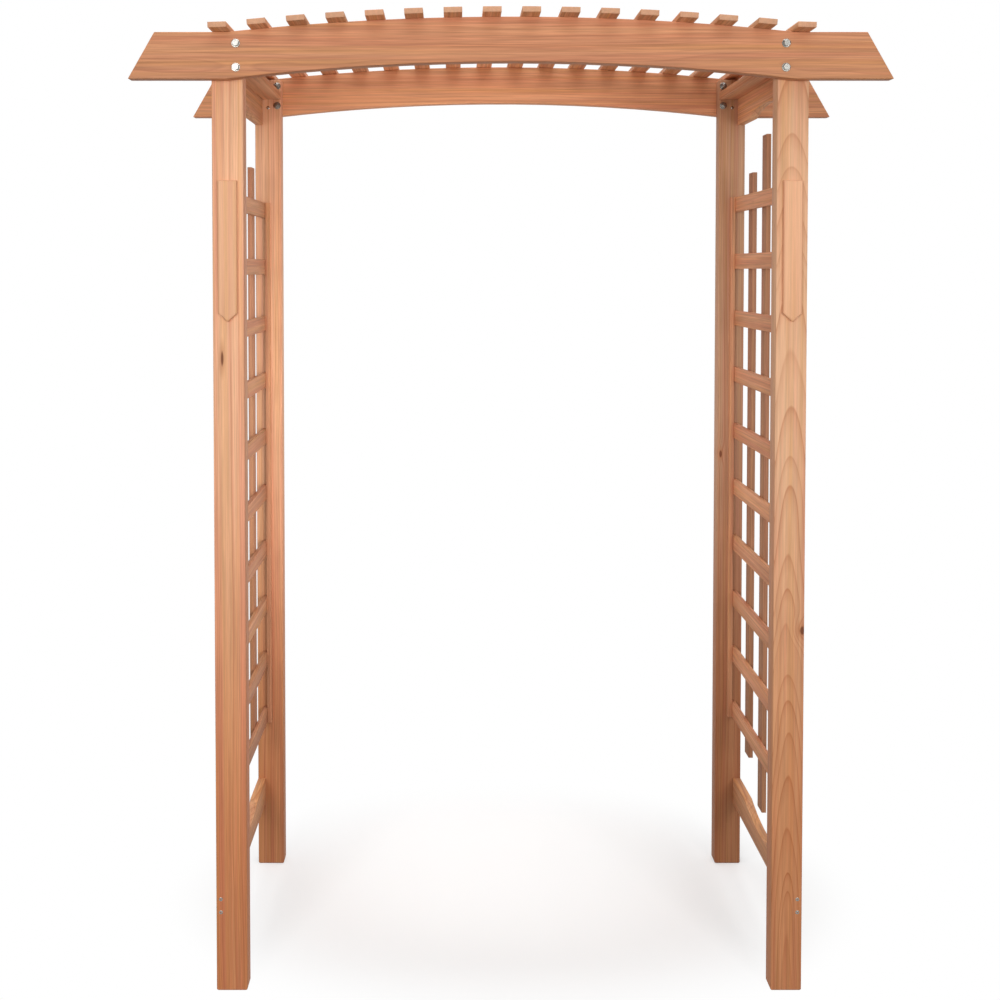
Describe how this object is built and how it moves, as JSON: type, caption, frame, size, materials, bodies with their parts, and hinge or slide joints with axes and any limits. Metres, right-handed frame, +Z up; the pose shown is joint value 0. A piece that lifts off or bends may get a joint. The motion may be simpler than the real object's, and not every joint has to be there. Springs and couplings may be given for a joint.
{
  "type": "garden arbor",
  "caption": "Open cedar arbor with a gently arched top of beams and cross slats on corner posts, a slatted lattice on each side, pointed plaques and arched side boards.",
  "frame": {"origin": "on the ground, under the middle of the whole arbor's box", "axes": "+X to the right across the passage seen from the front, +Y from the front to the back through the passage, +Z up"},
  "size_m": [1.609, 0.697, 2.03],
  "materials": {
    "post_cedar": "planed cedar, unfinished",
    "beam_cedar": "planed cedar, unfinished",
    "slat_cedar": "planed cedar, unfinished",
    "lath_cedar": "planed cedar, unfinished",
    "board_cedar": "planed cedar, unfinished",
    "plaque_cedar": "planed cedar, unfinished",
    "zinc": "bright zinc plate"
  },
  "bodies": {
    "root": {"front_left_post": "post_cedar", "front_right_post": "post_cedar", "rear_left_post": "post_cedar", "rear_right_post": "post_cedar", "front_beam": "beam_cedar", "rear_beam": "beam_cedar", "left_header": "board_cedar", "right_header": "board_cedar", "left_top_plate": "board_cedar", "right_top_plate": "board_cedar", "left_bottom_rail": "board_cedar", "right_bottom_rail": "board_cedar", "left_lattice": "lath_cedar", "right_lattice": "lath_cedar", "front_left_cleat": "lath_cedar", "front_right_cleat": "lath_cedar", "rear_left_cleat": "lath_cedar", "rear_right_cleat": "lath_cedar", "front_left_plaque": "plaque_cedar", "front_right_plaque": "plaque_cedar", "rear_left_plaque": "plaque_cedar", "rear_right_plaque": "plaque_cedar", "top_slat_01": "slat_cedar", "top_slat_02": "slat_cedar", "top_slat_03": "slat_cedar", "top_slat_04": "slat_cedar", "top_slat_05": "slat_cedar", "top_slat_06": "slat_cedar", "top_slat_07": "slat_cedar", "top_slat_08": "slat_cedar", "top_slat_09": "slat_cedar", "top_slat_10": "slat_cedar", "top_slat_11": "slat_cedar", "top_slat_12": "slat_cedar", "top_slat_13": "slat_cedar", "top_slat_14": "slat_cedar", "top_slat_15": "slat_cedar", "top_slat_16": "slat_cedar"}
  },
  "joints": []
}
